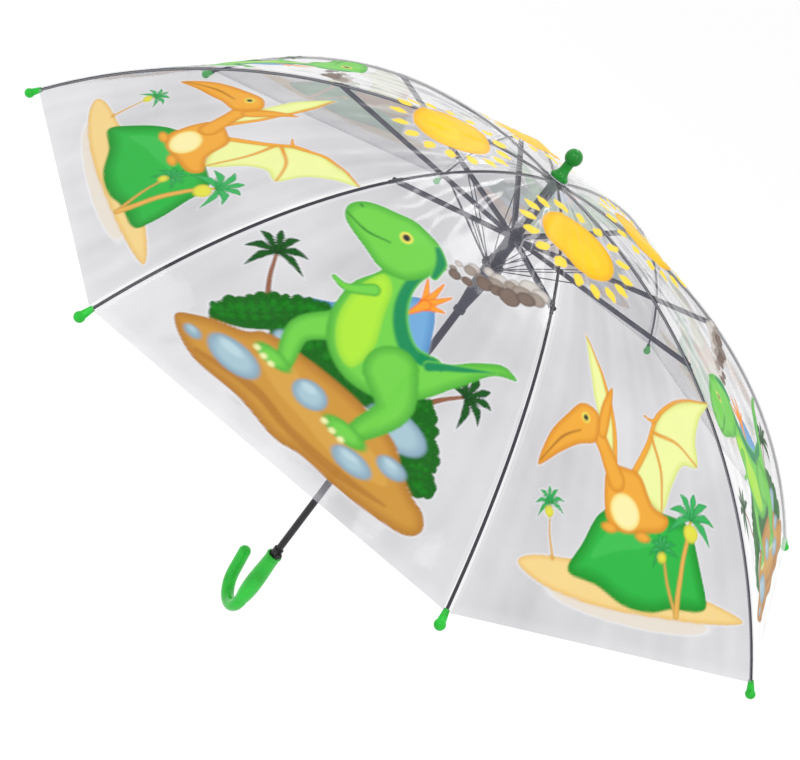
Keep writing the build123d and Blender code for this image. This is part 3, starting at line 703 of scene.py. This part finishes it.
def film_material():
    """Clear film that reads its ink, its seams and its painted streaks of reflection from the mesh."""
    material = bpy.data.materials.new("printed_film")
    material.use_nodes = True
    shader = material.node_tree.nodes["Principled BSDF"]
    print_ink = add_node(material, "ShaderNodeAttribute", attribute_name="ink")
    seam = add_node(material, "ShaderNodeAttribute", attribute_name="weld_and_highlight").outputs["Fac"]
    painted_streaks = add_node(material, "ShaderNodeAttribute", attribute_name="painted_streaks").outputs["Fac"]
    inside = add_node(material, "ShaderNodeNewGeometry").outputs["Backfacing"]
    glance = add_node(material, "ShaderNodeLayerWeight", {"Blend": 0.5}).outputs["Facing"]
    # bare film: grey when looked straight through, paler at a glancing angle and from the inside
    # as painted reflection of the white walls, and paler on the seams
    glancing = spread(material, glance, 0, 1, 0.62, 0.92)
    painted_reflection_share = combine(material, "MAXIMUM", glancing, spread(material, inside, 0, 0.95, 0, 1))
    bare = blend_tones(material, painted_reflection_share, film_grey, film_painted_reflection)
    seamed = blend_tones(material, seam, bare, weld_and_highlight_grey)
    # the ink is speckled where it took less well, and paler from the inside
    speck = spread(material, object_noise(material, 700, detail=2.0), 0.985, 1.0)
    taken = combine(material, "MULTIPLY", print_ink.outputs["Alpha"], speck)
    cover = combine(material, "MULTIPLY", taken, spread(material, inside, 1.0, 0.72, 0, 1))
    fading = spread(material, inside, 0, 0.35, 0, 1)
    faded = blend_tones(material, fading, print_ink.outputs["Color"], ink_faded)
    connect(material, blend_tones(material, cover, seamed, faded), shader, "Base Color")
    # how much the film hides: a cloudy haze that is partly painted patches of highlight, painted
    # streaks of reflection, more at a glancing angle and from the inside, on seams and in ink
    # uneven clarity of the film, made strong enough to stand as painted patches of highlight
    cloud = spread(material, object_noise(material, 9, detail=4.0), -0.09, 0.06)
    clear = combine(material, "ADD", spread(material, painted_reflection_share, 0.47, 0.52, 0, 1), cloud)
    streaked = combine(material, "MULTIPLY_ADD", painted_streaks, 0.022, clear)
    haze_and_painted_sheen = combine(material, "MULTIPLY_ADD", seam, 0.10, streaked)
    connect(material, combine(material, "MAXIMUM", haze_and_painted_sheen, cover), shader, "Alpha")
    connect(material, spread(material, taken, 0.12, 0.42, 0, 1), shader, "Roughness")
    connect(material, spread(material, taken, 0.50, 0.08, 0, 1), shader, "Specular IOR Level")
    # slow waves in the film, and the ink standing a little proud of it
    waves = object_noise(material, 26, detail=3.0)
    ripple = add_node(material, "ShaderNodeBump", {"Strength": 0.5, "Distance": 0.0012, "Height": waves})
    layer = add_node(
        material,
        "ShaderNodeBump",
        {"Strength": 0.4, "Distance": 0.00008, "Height": taken, "Normal": ripple.outputs["Normal"]},
    )
    connect(material, layer.outputs["Normal"], shader, "Normal")
    return material


printed_film = film_material()

# ---------------------------------------------------------------------------
# Half gores: one sheet of film on each side of every rib, cut from the flat pattern, printed,
# stretched on the frame and riding with its rib. A gore's left half stands in for its panel.


def grid_shares():
    """A fresh half gore's grid, and the shares across and down of every vertex of it."""
    bpy.ops.mesh.primitive_grid_add(x_subdivisions=columns, y_subdivisions=rows, size=1)
    grid = bpy.context.object
    places = np.empty(len(grid.data.vertices) * 3)
    grid.data.vertices.foreach_get("co", places)
    places = places.reshape(-1, 3)
    return grid, places[:, 0] + 0.5, 0.5 - places[:, 1]


def flat_cut(side):
    """Where every vertex of a half gore lies on the flat cut, across and down."""
    down = line_length[0] + share_down * (gore_length - line_length[0])
    half = np.interp(down, line_length, line_half)
    across = half * (share_across if side > 0 else share_across - 1)
    return across, down


def print_gore(drawing, side):
    """Colour and cover for one half gore's grid, drawn on its flat cut."""
    spots = np.stack(flat_cut(side), 1) * 1000
    picture = np.zeros((len(spots), 4))
    picture[:, :3] = ink(214, 214, 224)
    drawing(picture, spots)
    return picture


def weld_haze_and_highlight(across, down):
    """How welded the film is: a line beside each rib (the weld's haze and a painted highlight), a hem,
    and clear film over the rib.
    """
    to_weld = np.interp(down, line_length, line_half) - np.abs(across)
    # the line beside the rib is the weld's haze with a painted highlight along it
    beside_rib = np.exp(-(((to_weld - seam_offset) / seam_width) ** 2)) * np.clip(down / 0.05, 0, 1)
    hem = np.clip(1.5 - (gore_length - down) / hem_width, 0, 1) * 0.6
    return np.where(to_weld < clear_strip, -2.0, np.maximum(beside_rib, hem))


def painted_reflection_streaks(across, down, number):
    """Faint painted streaks of reflection that run down a gore, different on each."""
    share = across / np.interp(down, line_length, line_half)
    streaks = np.sin(7 * share + 5 * down + number) + 0.7 * np.sin(19 * share - 3 * down + 2 * number)
    return streaks + 0.4 * np.sin(43 * share + 4 * down + 3 * number)


def note_factor(mesh, name, factor):
    """Keep one factor for every vertex of a mesh."""
    mesh.attributes.new(name, "FLOAT", "POINT").data.foreach_set("value", factor.astype(np.float32))


pattern, share_across, share_down = grid_shares()
pattern.name = "half_gore_pattern"
pictures = {
    (drawing, side): print_gore(drawing, side)
    for drawing in (print_island, print_valley)
    for side in (-1, 1)
}

for number in range(1, rib_count + 1):
    middle = first_rib + half_gore * (2 * number - 1)
    axes = np.array(((cos(middle), sin(middle), 0), (-sin(middle), cos(middle), 0), (0, 0, 1)))
    drawing = print_valley if number % 2 else print_island
    for side in (-1, 1):
        held_by = number if side < 0 else number % rib_count + 1
        half = pattern.copy()
        half.data = pattern.data.copy()
        bpy.context.collection.objects.link(half)
        half.name = half.data.name = f"film_{number}_{'left' if side < 0 else 'right'}"
        across, down = flat_cut(side)
        places = film_point(across, down) @ axes
        half.data.vertices.foreach_set("co", places.astype(np.float32).ravel())
        printed = half.data.color_attributes.new("ink", "FLOAT_COLOR", "POINT")
        printed.data.foreach_set("color", pictures[drawing, side].astype(np.float32).ravel())
        note_factor(half.data, "weld_and_highlight", weld_haze_and_highlight(across, down))
        # painted streaks of reflection down the gore
        note_factor(half.data, "painted_streaks", painted_reflection_streaks(across, down, number))
        half.data.polygons.foreach_set("use_smooth", np.ones(len(half.data.polygons), bool))
        half.data.materials.append(printed_film)
        half.data.update()
        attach(half, f"rib_arm_{held_by}")
        if side < 0:
            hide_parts(f"canopy_panel_{number}")
        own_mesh(half)
bpy.data.objects.remove(pattern)
